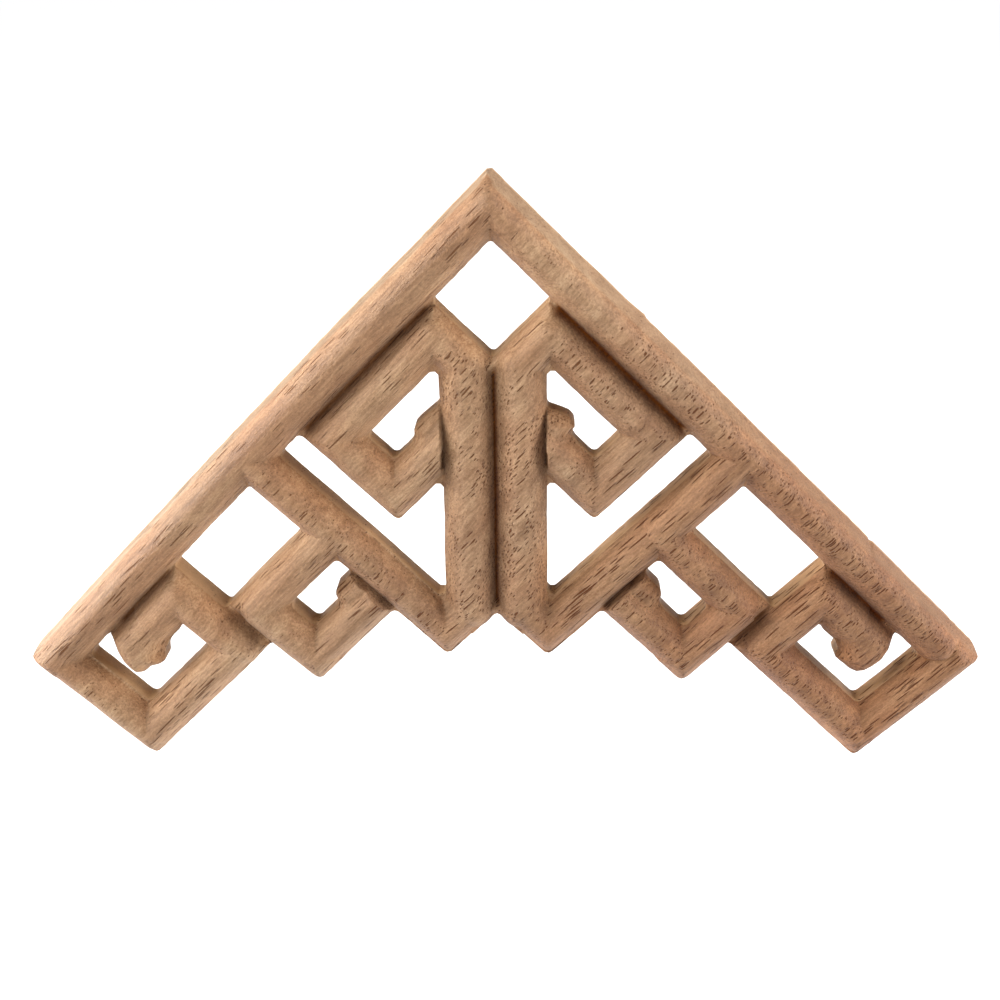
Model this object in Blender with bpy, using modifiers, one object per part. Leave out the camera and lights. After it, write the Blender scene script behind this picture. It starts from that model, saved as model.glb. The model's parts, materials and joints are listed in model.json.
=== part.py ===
"""Carved wooden corner ornament: a key-fret triangle cut through one flat board.

Units are metres. The piece stands upright as it hangs: +Z is up, the carved front faces -Y
and the flat back lies in y = 0. The origin is on the back, halfway down the two upright bars.

The plan is drawn in two directions: u runs down the left leg from the apex and v down the
right leg. Only the left half is laid out; the right half is the same with u and v swapped.
"""
import math

import bmesh
import bpy
from mathutils import Matrix, Vector

MM = 0.001

# Sizes of the board and of the section of its bars
LEG = 100.0 * MM            # outer length of each leg, apex to end
BAR = 6.4 * MM              # width of every bar of the fret
FLOOR = 3.3 * MM            # height of the ground at the foot of the grooves
SHOULDER = 3.6 * MM         # height at which the upright walls turn into the crown
THICKNESS = 6.6 * MM        # back to the top of the crown
ROUNDNESS = 2.4             # exponent of the crown's section: 2 is an ellipse, more is flatter
INSET = 0.06 * MM           # ledge between a wall of the board and the foot of a crown
HOLE_ROUND = 0.8 * MM       # radius left by the saw in the corners of the holes
TIP_ROUND = 1.0 * MM        # radius of the outer corners

# Lines of the plan, all measured from the outer edge of a leg
TOP_HOLE_FAR = 17.6 * MM    # far sides of the square hole below the apex
UPRIGHT = 7.33 * MM         # width of one upright bar, centre groove to outer edge
INNER_BAR = 13.07 * MM      # inner edge of the bars that lie beside the outer bar
CURL_HOLE = 18.1 * MM       # lower side of the hole inside the upper spiral
CURL_BAR = 24.6 * MM        # lower side of the upper spiral
SPIRAL_IN = 37.85 * MM      # inner side of the upper spiral's lower bar
SPIRAL_OUT = 44.35 * MM     # its outer side
CROSS_TOP = 48.75 * MM      # upper side of the long cross bar
CROSS_LOW = 55.2 * MM       # its lower side
POINT_EDGE = 44.7 * MM      # edges that meet at the bottom notch
SIDE_HOLE = 16.1 * MM       # inner side of the hole beside the outer bar
STEP_BAR = 22.5 * MM        # inner side of the bar below that hole
STEP_HOLE = 27.5 * MM       # inner side of the small hole
STEP_OUT = 33.9 * MM        # inner edge of the middle spiral
STEP_HOLE_END = 65.5 * MM   # lower end of the small hole
STEP_END = 71.95 * MM       # lower end of the middle spiral
END_TOP = 72.5 * MM         # upper side of the end spiral
END_BAR = 78.95 * MM        # lower side of its first bar
END_WIDTH = 24.55 * MM      # width of the end spiral
END_HOLE = 93.6 * MM        # lower side of the hole in the end spiral

CURL_END = 86.2 * MM        # middle of the free end of the end spiral
UPPER_LOBE = 29.8 * MM      # middle of the curl that ends the upper spiral
STEP_LOBE = 57.6 * MM       # middle of the curl that ends the middle spiral
LOBE_TURN = 2.15 * MM       # how far the curls turn inward
LAYER = 0.05 * MM           # step between bars that cross, which keeps their crests apart
BROKEN = 4.3 * MM           # height left where the left upper curl has split off

# How finely the rounded crowns are stepped
CROWN_STEPS = 10
TURN_STEPS = 24
CORNER_STEPS = 4

BELOW = 1.0 * MM            # everything is built this far past the back, then cut flat
WELD = 0.001 * MM           # vertices closer than this are one
LAP = 0.02 * MM             # corner pieces sit this much under the bars that run into them
BACK_OFF = 0.1 * MM         # bars stop this far short of the middle of a corner piece
DIAGONAL = UPRIGHT * math.sqrt(2)
ORIGIN_DOWN = 44.0 * MM     # from the apex down to the origin


def plan(u, v, flip):
    """A plan point, with the two legs swapped for the right half."""
    return Vector((v, u)) if flip else Vector((u, v))


def section(half_width, top):
    """Outline of a bar's crown from one foot to the other, as (offset, height) pairs."""
    points = []
    for step in range(CROWN_STEPS + 1):
        angle = math.pi * step / CROWN_STEPS
        side = math.copysign(abs(math.cos(angle)) ** (2 / ROUNDNESS), math.cos(angle))
        lift = max(math.sin(angle), 0.0) ** (2 / ROUNDNESS)
        points.append((half_width * side, SHOULDER + (top - SHOULDER) * lift))
    return points


def bake(source, name, collection):
    """Turn a curve or a modified object into a plain closed mesh object in the same place."""
    bpy.context.view_layer.update()
    evaluated = source.evaluated_get(bpy.context.evaluated_depsgraph_get())
    mesh = bpy.data.meshes.new_from_object(evaluated)
    work = bmesh.new()
    work.from_mesh(mesh)
    bmesh.ops.remove_doubles(work, verts=work.verts, dist=WELD)
    bmesh.ops.recalc_face_normals(work, faces=work.faces)
    work.to_mesh(mesh)
    work.free()
    made = bpy.data.objects.new(name, mesh)
    made.matrix_world = source.matrix_world
    bpy.data.objects.remove(source)
    collection.objects.link(made)
    return made


def drawing(name, loops, thickness, collection):
    """A flat filled outline with any holes, thickened about its own plane."""
    curve = bpy.data.curves.new(name, "CURVE")
    curve.dimensions = "2D"
    curve.fill_mode = "BOTH"
    curve.extrude = thickness / 2
    for loop in loops:
        spline = curve.splines.new("POLY")
        spline.points.add(len(loop) - 1)
        spline.use_cyclic_u = True
        for point, spot in zip(spline.points, loop):
            point.co = (spot[0], spot[1], 0.0, 1.0)
    drawn = bpy.data.objects.new(name, curve)
    collection.objects.link(drawn)
    return drawn


def rail(start, end, half_width, collection, top=THICKNESS):
    """A straight bar with a rounded crown between two plan points."""
    outline = section(half_width, top)
    outline = [(half_width, -BELOW)] + outline + [(-half_width, -BELOW)]
    length = (end - start).length
    drawn = drawing("rail", [outline], length, collection)
    along = (end - start).normalized()
    middle = (start + end) / 2
    drawn.matrix_world = Matrix(((-along.y, 0, along.x, middle.x), (along.x, 0, along.y, middle.y),
                                 (0, 1, 0, 0), (0, 0, 0, 1)))
    return bake(drawn, "rail", collection)


def boss(centre, radius, collection, top=THICKNESS):
    """The same crown turned about a point, for the rounded corners and the curl ends."""
    profile = section(radius, top)[:CROWN_STEPS // 2]
    profile = [(0.0, -BELOW), (radius, -BELOW)] + profile + [(0.0, top)]
    mesh = bpy.data.meshes.new("boss")
    edges = [(k, k + 1) for k in range(len(profile) - 1)]
    mesh.from_pydata([(reach, 0.0, height) for reach, height in profile], edges, [])
    drawn = bpy.data.objects.new("boss", mesh)
    collection.objects.link(drawn)
    drawn.location = (centre.x, centre.y, 0.0)
    drawn.rotation_euler.z = math.pi / TURN_STEPS
    screw = drawn.modifiers.new("turn", "SCREW")
    screw.steps = screw.render_steps = TURN_STEPS
    screw.use_merge_vertices = True
    screw.merge_threshold = WELD
    return bake(drawn, "boss", collection)


def pillow(centre, reach, collection, top):
    """A square corner: where two crossing bars are both solid, so that the crowns meet in hips."""
    arms = [Vector((reach, 0.0)), Vector((0.0, reach))]
    one, other = [rail(centre - arm, centre + arm, reach, collection, top) for arm in arms]
    combine(one, "INTERSECT", object=other)
    bpy.data.objects.remove(other)


def ribbon(points, corners, collection, flip, top=THICKNESS, half_width=BAR / 2 - INSET):
    """Bars along a line of plan points, with a square, round or plain joint on each point."""
    spots = [plan(u, v, flip) for u, v in points]
    for start, end in zip(spots, spots[1:]):
        back_off = (end - start).normalized() * BACK_OFF
        rail(start + back_off, end - back_off, half_width, collection, top)
    for spot, corner in zip(spots, corners):
        if corner == "square":
            pillow(spot, half_width - LAP, collection, top - LAP)
        elif corner == "round":
            boss(spot, half_width - LAP, collection, top - LAP)


def rounded(loop, radius):
    """Cut the corners of a closed plan loop with short arcs."""
    points = []
    for index, corner in enumerate(loop):
        before = (loop[index - 1] - corner).normalized()
        after = (loop[(index + 1) % len(loop)] - corner).normalized()
        opening = before.angle(after)
        reach = radius / math.tan(opening / 2)
        middle = corner + (before + after).normalized() * (radius / math.sin(opening / 2))
        first = corner + before * reach - middle
        turn = first.angle_signed(corner + after * reach - middle)
        for step in range(CORNER_STEPS + 1):
            angle = -turn * step / CORNER_STEPS
            points.append(middle + Matrix.Rotation(angle, 2) @ first)
    return points


def hole_loops(flip):
    """The five holes of one half, as plan loops."""
    loops = [
        [(CROSS_LOW, BAR), (END_TOP, BAR), (END_TOP, SIDE_HOLE), (CROSS_LOW, SIDE_HOLE)],
        [(SPIRAL_OUT, BAR), (CROSS_TOP, BAR), (CROSS_TOP, CROSS_TOP - DIAGONAL),
         (CURL_BAR + DIAGONAL, CURL_BAR), (SPIRAL_OUT, CURL_BAR)],
        [(INNER_BAR + DIAGONAL, INNER_BAR), (SPIRAL_IN, INNER_BAR), (SPIRAL_IN, CURL_HOLE),
         (CURL_HOLE + DIAGONAL, CURL_HOLE)],
        [(CROSS_LOW, STEP_BAR), (STEP_HOLE_END, STEP_BAR), (STEP_HOLE_END, STEP_HOLE),
         (CROSS_LOW, STEP_HOLE)],
        [(END_BAR, INNER_BAR), (CURL_END, INNER_BAR), (CURL_END, BAR), (END_HOLE, BAR),
         (END_HOLE, END_WIDTH - BAR), (END_BAR, END_WIDTH - BAR)],
    ]
    return [[plan(u, v, flip) for u, v in loop] for loop in loops]


def outer_loop():
    """The outline of the whole board, down the left half and back up the right."""
    half = [(LEG, 0.0), (LEG, END_WIDTH), (STEP_END, END_WIDTH), (STEP_END, STEP_OUT),
            (CROSS_LOW, STEP_OUT), (CROSS_LOW, POINT_EDGE)]
    left = [plan(u, v, False) for u, v in half]
    right = [plan(u, v, True) for u, v in half]
    return [Vector((0.0, 0.0))] + left + [Vector((POINT_EDGE, POINT_EDGE))] + right[::-1]


def board(collection):
    """The pierced board up to the ground of the grooves."""
    far = TOP_HOLE_FAR
    square = [Vector(spot) for spot in ((BAR, BAR), (far, BAR), (far, far), (BAR, far))]
    loops = [rounded(outer_loop(), TIP_ROUND), rounded(square, HOLE_ROUND)]
    loops += [rounded(loop, HOLE_ROUND) for flip in (False, True) for loop in hole_loops(flip)]
    drawn = drawing("board", loops, FLOOR + BELOW, collection)
    drawn.location.z = (FLOOR - BELOW) / 2
    return bake(drawn, "applique", collection)


def upper_spiral(collection, flip):
    """The crowned bar that turns in from the upright bar and ends in a curl against it."""
    low, side = (SPIRAL_IN + SPIRAL_OUT) / 2, (CURL_HOLE + CURL_BAR) / 2
    first, second = TOP_HOLE_FAR + BAR / 2, INNER_BAR - BAR / 2
    top = THICKNESS - 3 * LAYER
    ribbon([(first, first - DIAGONAL / 2), (first, second), (low, second), (low, side)],
           ["plain", "round", "square", "square"], collection, flip, top)
    curl = new_collection("curl")
    rail(plan(low - BACK_OFF, side, flip), plan(side + DIAGONAL / 2, side, flip), BAR / 2 - INSET, curl, top)
    lobe = plan(UPPER_LOBE, side - LOBE_TURN, flip)
    boss(lobe, BAR / 2, curl, top - LAP if flip else BROKEN)
    along = Vector((LEG, LEG))
    edge = plan(DIAGONAL / 4, -DIAGONAL / 4, flip)
    for solid in list(curl.objects):
        cut(solid, rail(edge - along, edge + along, UPRIGHT / 2 + INSET, cutters(), 2 * THICKNESS))
        curl.objects.unlink(solid)
        collection.objects.link(solid)
    bpy.data.collections.remove(curl)


def half_carving(collection, flip):
    """All the crowned bars of one half."""
    edge = BAR / 2
    second = INNER_BAR - edge
    low, inner = (END_HOLE + LEG) / 2, END_WIDTH - edge
    top = (END_TOP + END_BAR) / 2
    ribbon([(edge, edge), (low, edge), (low, inner), (top, inner), (top, second),
            (CURL_END, second), (CURL_END, second + LOBE_TURN)],
           ["plain" if flip else "square", "square", "square", "round", "square", "round", "round"],
           collection, flip)
    cross, point = (CROSS_TOP + CROSS_LOW) / 2, POINT_EDGE - edge
    ribbon([(cross, edge), (cross, point), (point + DIAGONAL / 2, point)],
           ["plain", "square", "plain"], collection, flip, THICKNESS - LAYER)
    step, out = (SIDE_HOLE + STEP_BAR) / 2, (STEP_HOLE_END + STEP_END) / 2
    back = (STEP_HOLE + STEP_OUT) / 2
    ribbon([(cross, step), (out, step), (out, back), (STEP_LOBE, back), (STEP_LOBE, back - LOBE_TURN)],
           ["round", "round", "square", "round", "round"], collection, flip, THICKNESS + LAYER)
    first = TOP_HOLE_FAR + edge
    ribbon([(first, first - DIAGONAL / 2), (point + DIAGONAL / 2, point)], ["round", "round"],
           collection, flip, THICKNESS - 2 * LAYER, UPRIGHT / 2 - INSET)
    upper_spiral(collection, flip)


def cutters():
    """The collection that holds the cutting solids."""
    return bpy.data.collections["cutters"]


def combine(target, operation, **operand):
    """Apply one Boolean to the target and bake it."""
    modifier = target.modifiers.new("cut", "BOOLEAN")
    modifier.solver = "MANIFOLD"
    modifier.operation = operation
    for key, value in operand.items():
        setattr(modifier, key, value)
    bpy.context.view_layer.update()
    result = bpy.data.meshes.new_from_object(target.evaluated_get(bpy.context.evaluated_depsgraph_get()))
    target.modifiers.clear()
    target.data = result


def cut(target, cutter):
    """Take one cutter out of the target."""
    cutter.display_type = "WIRE"
    cutter.hide_render = True
    combine(target, "DIFFERENCE", object=cutter)
    bpy.data.objects.remove(cutter)


def block(middle, size, collection):
    """A plain box."""
    work = bmesh.new()
    bmesh.ops.create_cube(work, size=1.0)
    bmesh.ops.scale(work, verts=work.verts, vec=size)
    mesh = bpy.data.meshes.new("block")
    work.to_mesh(mesh)
    work.free()
    made = bpy.data.objects.new("block", mesh)
    made.location = middle
    collection.objects.link(made)
    return made


def new_collection(name):
    """A collection linked to the scene."""
    made = bpy.data.collections.new(name)
    bpy.context.scene.collection.children.link(made)
    return made


def raw_wood():
    """Bare pale hardwood with a pink cast."""
    material = bpy.data.materials.new("raw wood")
    material.use_nodes = True
    shader = material.node_tree.nodes["Principled BSDF"]
    shader.inputs["Base Color"].default_value = (0.46, 0.29, 0.19, 1.0)
    shader.inputs["Roughness"].default_value = 0.75
    return material


def stand_upright(piece):
    """Turn the plan upright with the carving toward -Y and put the origin on the back."""
    half = math.sqrt(0.5)
    lift = Matrix.Translation(-piece.location)
    turn = Matrix(((-half, half, 0, 0), (0, 0, -1, 0), (-half, -half, 0, ORIGIN_DOWN), (0, 0, 0, 1)))
    piece.data.transform(turn @ lift.inverted())
    piece.location = (0.0, 0.0, 0.0)


def main():
    for old in list(bpy.data.objects):
        bpy.data.objects.remove(old)
    home = new_collection("corner applique")
    new_collection("cutters").hide_render = True
    carving = new_collection("carving")
    piece = board(home)
    for flip in (False, True):
        half_carving(carving, flip)
    combine(piece, "UNION", operand_type="COLLECTION", collection=carving)
    for solid in list(carving.objects):
        bpy.data.objects.remove(solid)
    bpy.data.collections.remove(carving)
    cut(piece, block((0.0, 0.0, -LEG), (3 * LEG, 3 * LEG, 2 * LEG), cutters()))
    stand_upright(piece)
    piece.data.materials.clear()
    piece.data.materials.append(raw_wood())
    print("applique:", len(piece.data.vertices), "vertices", len(piece.data.polygons), "faces")


main()
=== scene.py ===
# %% [markdown]
# # A carved wooden corner
# This is a small corner ornament for furniture: a triangle of key-fret bars, sawn right through
# one flat board and then rounded over by hand. It hangs by its flat back, so it has no base.
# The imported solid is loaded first. It fixes the size, and the fine surface made here replaces it.

# %% Load the solid
import json
import math

import bmesh
import bpy
import numpy as np
from mathutils import Matrix, Vector
from mathutils.geometry import delaunay_2d_cdt
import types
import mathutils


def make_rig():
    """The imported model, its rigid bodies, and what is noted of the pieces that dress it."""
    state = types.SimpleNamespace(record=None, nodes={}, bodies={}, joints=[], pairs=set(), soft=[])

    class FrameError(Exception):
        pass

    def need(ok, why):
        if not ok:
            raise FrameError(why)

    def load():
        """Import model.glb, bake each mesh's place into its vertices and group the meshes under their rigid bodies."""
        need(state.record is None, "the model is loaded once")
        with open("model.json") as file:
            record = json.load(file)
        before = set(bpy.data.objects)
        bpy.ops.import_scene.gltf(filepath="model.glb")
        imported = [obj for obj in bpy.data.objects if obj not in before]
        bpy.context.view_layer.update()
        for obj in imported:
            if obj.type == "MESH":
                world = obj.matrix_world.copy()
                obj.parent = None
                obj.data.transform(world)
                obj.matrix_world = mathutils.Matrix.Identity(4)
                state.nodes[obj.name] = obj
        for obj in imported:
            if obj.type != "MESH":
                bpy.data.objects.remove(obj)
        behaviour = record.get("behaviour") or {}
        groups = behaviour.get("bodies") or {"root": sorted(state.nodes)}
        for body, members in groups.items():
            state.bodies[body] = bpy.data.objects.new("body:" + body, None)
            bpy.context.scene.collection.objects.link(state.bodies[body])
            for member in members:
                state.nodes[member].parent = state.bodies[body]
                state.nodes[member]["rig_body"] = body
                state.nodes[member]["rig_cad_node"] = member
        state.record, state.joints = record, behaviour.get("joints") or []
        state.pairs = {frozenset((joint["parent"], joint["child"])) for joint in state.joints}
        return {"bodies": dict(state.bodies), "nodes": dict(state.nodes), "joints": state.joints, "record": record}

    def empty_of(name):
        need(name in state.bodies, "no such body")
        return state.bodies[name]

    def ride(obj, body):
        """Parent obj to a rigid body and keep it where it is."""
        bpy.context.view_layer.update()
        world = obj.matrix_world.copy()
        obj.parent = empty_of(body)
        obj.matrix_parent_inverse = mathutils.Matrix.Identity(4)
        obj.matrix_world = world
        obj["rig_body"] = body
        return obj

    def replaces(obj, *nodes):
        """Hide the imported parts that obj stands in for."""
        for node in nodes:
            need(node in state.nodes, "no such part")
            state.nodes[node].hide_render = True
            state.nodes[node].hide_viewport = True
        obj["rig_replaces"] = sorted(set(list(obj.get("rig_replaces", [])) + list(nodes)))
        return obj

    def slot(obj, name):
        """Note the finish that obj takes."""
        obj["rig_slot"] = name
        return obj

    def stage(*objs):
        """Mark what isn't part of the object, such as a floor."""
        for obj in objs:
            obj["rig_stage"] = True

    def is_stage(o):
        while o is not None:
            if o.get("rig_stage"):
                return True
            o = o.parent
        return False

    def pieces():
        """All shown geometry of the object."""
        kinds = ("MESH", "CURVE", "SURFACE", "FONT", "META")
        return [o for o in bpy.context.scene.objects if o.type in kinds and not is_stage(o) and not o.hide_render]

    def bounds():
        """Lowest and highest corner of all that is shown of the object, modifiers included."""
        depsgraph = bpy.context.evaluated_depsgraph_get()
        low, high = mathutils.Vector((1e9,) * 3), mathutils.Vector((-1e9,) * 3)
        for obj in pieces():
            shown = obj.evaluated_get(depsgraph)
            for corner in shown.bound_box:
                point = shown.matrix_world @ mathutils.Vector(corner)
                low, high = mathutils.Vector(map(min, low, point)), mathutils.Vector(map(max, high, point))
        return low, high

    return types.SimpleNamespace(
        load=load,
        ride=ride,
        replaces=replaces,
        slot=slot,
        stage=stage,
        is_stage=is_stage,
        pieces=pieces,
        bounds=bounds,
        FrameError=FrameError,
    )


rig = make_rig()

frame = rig.load()
solid_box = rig.bounds()
print("solid, mm:", [round((high - low) * 1000, 1) for low, high in zip(*solid_box)])

# %% [markdown]
# ## The plan
# The whole fret is drawn with two directions: u runs down the left leg from the apex and v down
# the right leg. Every bar lies along u or v, apart from the two upright bars in the middle,
# where u - v stays the same. Only the left half is drawn, because swapping u and v mirrors it, and
# the few ends that differ are drawn for both. All sizes are millimetres until the mesh is made.

# %% The sizes of the plan
LEG = 100.0
BAR = 6.4
UPRIGHT = 7.33
DIAGONAL = UPRIGHT * math.sqrt(2)
ORIGIN_DOWN = 44.0
TOP_HOLE_FAR = 17.6
INNER_BAR = 13.07
CURL_HOLE, CURL_BAR = 18.1, 24.6
SPIRAL_IN, SPIRAL_OUT = 37.85, 44.35
CROSS_TOP, CROSS_LOW = 48.75, 55.2
POINT_EDGE = 44.7
SIDE_HOLE, STEP_BAR, STEP_HOLE, STEP_OUT = 16.1, 22.5, 27.5, 33.9
STEP_HOLE_END, STEP_END = 65.5, 71.95
END_TOP, END_BAR, END_WIDTH, END_HOLE = 72.5, 78.95, 24.55, 93.2
CURL_END, UPPER_LOBE = 86.2, 29.8
KEYS = sorted({0.0, BAR, INNER_BAR, SIDE_HOLE, TOP_HOLE_FAR, CURL_HOLE, STEP_BAR, END_WIDTH, STEP_HOLE,
               STEP_OUT, SPIRAL_IN, SPIRAL_OUT, CROSS_TOP, CROSS_LOW, STEP_HOLE_END, STEP_END, END_TOP,
               END_BAR, END_HOLE, LEG})
print(len(KEYS), "lines of the plan on each leg, from", KEYS[0], "to", KEYS[-1], "mm")


def upright(u, v, height):
    """Plan to space, in mm: x = (v - u)/sqrt 2, y = -height, z = the origin's drop - (u + v)/sqrt 2."""
    half = math.sqrt(0.5)
    return np.stack([(v - u) * half, -height, ORIGIN_DOWN - (u + v) * half], axis=-1)

# %% [markdown]
# ## The camera
# The photograph looks down on the piece by about 23 degrees from just right of the middle, and
# the picture is turned by about one degree. Setting the camera first lets every later step be
# compared with the photograph.

# %% Place the camera
FOCAL, PICTURE, SENSOR = 1292.3, 1000, 36.0
eye = np.array([0.00814, -0.16970, 0.02589 + ORIGIN_DOWN * 0.001])
right = np.array([0.99913, 0.03658, -0.01989])
down = np.array([-0.00382, -0.39503, -0.91866])
ahead = np.array([-0.04146, 0.91794, -0.39455])
camera_data = bpy.data.cameras.new("camera")
camera_data.sensor_width = SENSOR
camera_data.lens = FOCAL / PICTURE * SENSOR
camera_data.clip_start, camera_data.clip_end = 0.01, 20.0
camera = bpy.data.objects.new("camera", camera_data)
bpy.context.scene.collection.objects.link(camera)
turn = np.eye(4)
turn[:3, 0], turn[:3, 1], turn[:3, 2], turn[:3, 3] = right, -down, -ahead, eye
camera.matrix_world = Matrix(turn.tolist())
bpy.context.scene.camera = camera
print("camera at", np.round(eye * 1000, 1), "mm, lens", round(camera_data.lens, 1), "mm")

# %% [markdown]
# ## The outline
# A fret saw cut the board, so its edges are upright walls. To know where wood is, each point of
# the plan gets its distance to the nearest edge, counted positive inside the wood. The edges are
# closed loops with slightly rounded corners. The curled ends are loops of their own, added to the rest.

# %% Tools for loops
def swap(loop):
    """Mirror a loop of the left half to the right half by swapping u and v."""
    return [(v, u) for u, v in loop]


def rounded(loop, radius, steps=5):
    """Replace each corner by an arc: middle + radius * (direction turned from one tangent to the next)."""
    loop = np.array(loop, float)
    before, after = np.roll(loop, 1, axis=0) - loop, np.roll(loop, -1, axis=0) - loop
    before /= np.linalg.norm(before, axis=1)[:, None]
    after /= np.linalg.norm(after, axis=1)[:, None]
    half = np.arccos(np.clip((before * after).sum(1), -1, 1)) / 2
    bisector = before + after
    bisector /= np.linalg.norm(bisector, axis=1)[:, None]
    radius = np.broadcast_to(radius, len(loop))
    middle = loop + bisector * (radius / np.sin(half))[:, None]
    first = loop + before * (radius / np.tan(half))[:, None] - middle
    last = loop + after * (radius / np.tan(half))[:, None] - middle
    share = np.linspace(0, 1, steps)[None, :, None]
    spoke = first[:, None] * (1 - share) + last[:, None] * share
    spoke *= radius[:, None, None] / np.linalg.norm(spoke, axis=2, keepdims=True)
    return (middle[:, None] + spoke).reshape(-1, 2)


print("a square has", len(rounded([(0, 0), (4, 0), (4, 4), (0, 4)], 1.0)), "corners once rounded")

# %% [markdown]
# One loop runs down both legs and back along the steps, and eleven go round the holes. Fingers wear
# the far ends of the legs most, while the apex has stayed sharp.

# %% Loops of the outline
CORNER_RADIUS, APEX_RADIUS, TIP_RADIUS = 0.8, 0.25, 1.6
TOP_HOLE_RADIUS, HOLE_RADII = 0.6, (0.5, 0.7, 0.7, 0.8, 0.8)
left_edge = [(LEG, 0.0), (LEG, END_WIDTH), (STEP_END, END_WIDTH), (STEP_END, STEP_OUT),
             (CROSS_LOW, STEP_OUT), (CROSS_LOW, POINT_EDGE)]
outer = [(0.0, 0.0)] + left_edge + [(POINT_EDGE, POINT_EDGE)] + swap(left_edge)[::-1]
top_hole = [(BAR, BAR), (TOP_HOLE_FAR, BAR), (TOP_HOLE_FAR, TOP_HOLE_FAR), (BAR, TOP_HOLE_FAR)]
side_hole = [(CROSS_LOW, BAR), (END_TOP, BAR), (END_TOP, SIDE_HOLE), (CROSS_LOW, SIDE_HOLE)]
slot_hole = [(SPIRAL_OUT, BAR), (CROSS_TOP, BAR), (CROSS_TOP, CROSS_TOP - DIAGONAL),
             (CURL_BAR + DIAGONAL, CURL_BAR), (SPIRAL_OUT, CURL_BAR)]
spiral_hole = [(INNER_BAR + DIAGONAL, INNER_BAR), (SPIRAL_IN, INNER_BAR), (SPIRAL_IN, CURL_HOLE),
               (CURL_HOLE + DIAGONAL, CURL_HOLE)]
step_hole = [(CROSS_LOW, STEP_BAR), (STEP_HOLE_END, STEP_BAR), (STEP_HOLE_END, STEP_HOLE),
             (CROSS_LOW, STEP_HOLE)]
end_hole = [(END_BAR, INNER_BAR), (CURL_END, INNER_BAR), (CURL_END, BAR), (END_HOLE, BAR),
            (END_HOLE, END_WIDTH - BAR), (END_BAR, END_WIDTH - BAR)]
holes = [side_hole, slot_hole, spiral_hole, step_hole, end_hole]
corner_radii = np.full(len(outer), CORNER_RADIUS)
corner_radii[[0, 1, -1]] = APEX_RADIUS, TIP_RADIUS, TIP_RADIUS
board = [rounded(outer, corner_radii), rounded(top_hole, TOP_HOLE_RADIUS)]
for hole, radius in zip(holes, HOLE_RADII):
    board += [rounded(hole, radius), rounded(swap(hole), radius)]
print(len(board), "loops of the board,", sum(map(len, board)), "corners once rounded")

# %% [markdown]
# A curl ends in a rounded lump that reaches into its hole. The six lumps were cut by eye: those at
# the ends of the legs are hooks with a blunt side, and the one at the top left has lost its crown
# along a split in the grain. Each is drawn as its own short loop.

# %% Loops of the curled ends
HALF = BAR / 2
FAR_SIDE = INNER_BAR - BAR
HOOK_FROM, HOOK_CROWN_FROM, HOOK_NECK = 80.0, 76.0, 87.3
HOOK_TOP = BAR - 0.2
hook_right = [(88.0, 7.1), (89.3, 9.0), (89.8, 10.8), (89.7, 12.4), (89.4, 13.8), (88.6, 14.9),
              (87.3, 15.15), (84.5, 15.3), (84.0, 14.1), (82.8, INNER_BAR)]
hook_left = [(88.3, 6.9), (89.1, 8.0), (89.9, 9.3), (90.5, 10.7), (90.7, 12.2), (90.6, 13.5), (89.7, 14.2),
             (88.2, 14.3), (87.0, 15.0), (85.8, 15.2), (84.6, 14.1), (83.2, 13.4), (81.6, INNER_BAR)]
upper_right = [(24.0, 19.0), (27.2, 17.8), (31.0, 16.1), (32.4, 16.3), (32.7, 17.7), (33.8, 18.3),
               (33.8, 20.5), (24.0, 22.0)]
upper_left = [(24.5, 17.6), (27.8, 17.0), (31.2, 16.7), (32.4, 16.8), (33.4, 17.8), (34.2, 18.3),
              (34.2, 20.5), (24.5, 22.0)]
step_lobe = [(53.0, 24.7), (56.6, 25.5), (58.6, 25.5), (59.5, 26.0), (59.9, 26.9), (60.9, 27.6),
             (60.9, 29.5), (53.0, 30.5)]


def hook(free, top, back):
    """A hooked end: its free side, closed along the outer bar at the top and inside the bar it ends."""
    return [(back, top), (HOOK_NECK, top)] + free + [(back, INNER_BAR)]


curls = {"left hook": rounded(hook(hook_left, HOOK_TOP, HOOK_FROM), 0.2),
         "right hook": rounded(swap(hook(hook_right, HOOK_TOP, HOOK_FROM)), 0.3),
         "left upper": rounded(upper_left, 0.3), "right upper": rounded(swap(upper_right), 0.3),
         "left step": rounded(step_lobe, 0.4), "right step": rounded(swap(step_lobe), 0.4)}
print(len(curls), "curled ends")

# %% [markdown]
# The distance to a loop is the least distance to any of its sides, and its sign comes from how
# many sides a straight line from the point crosses. The board's loops are taken together, and
# each curl is joined to them by keeping the larger of the two distances, with a fillet between.

# %% Distance to the edge
HOOK_BLEND, CURL_BLEND = 1.5, 0.7


def edge_distance(u, v, shapes):
    """Distance to the nearest side of the loops, positive where a line to the left crosses an odd number."""
    nearest = np.full(u.shape, 1e9)
    inside = np.zeros(u.shape, bool)
    for loop in shapes:
        for (u0, v0), (u1, v1) in zip(loop, np.roll(loop, -1, axis=0)):
            du, dv = u1 - u0, v1 - v0
            share = np.clip(((u - u0) * du + (v - v0) * dv) / (du * du + dv * dv), 0, 1)
            nearest = np.minimum(nearest, np.square(u - u0 - share * du) + np.square(v - v0 - share * dv))
            if dv:
                inside ^= ((v0 <= v) != (v1 <= v)) & (u > u0 + (v - v0) * du / dv)
    return np.where(inside, np.sqrt(nearest), -np.sqrt(nearest))


def wood_distance(u, v):
    """The larger of the distances to board and curl, plus (blend - gap)^2 / (4 blend) as a fillet."""
    distance = edge_distance(u, v, board)
    for name, loop in curls.items():
        other = edge_distance(u, v, [loop])
        blend = HOOK_BLEND if "hook" in name else CURL_BLEND
        overlap = np.clip(blend - np.abs(distance - other), 0, None)
        distance = np.maximum(distance, other) + overlap ** 2 / (4 * blend)
    return distance


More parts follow.
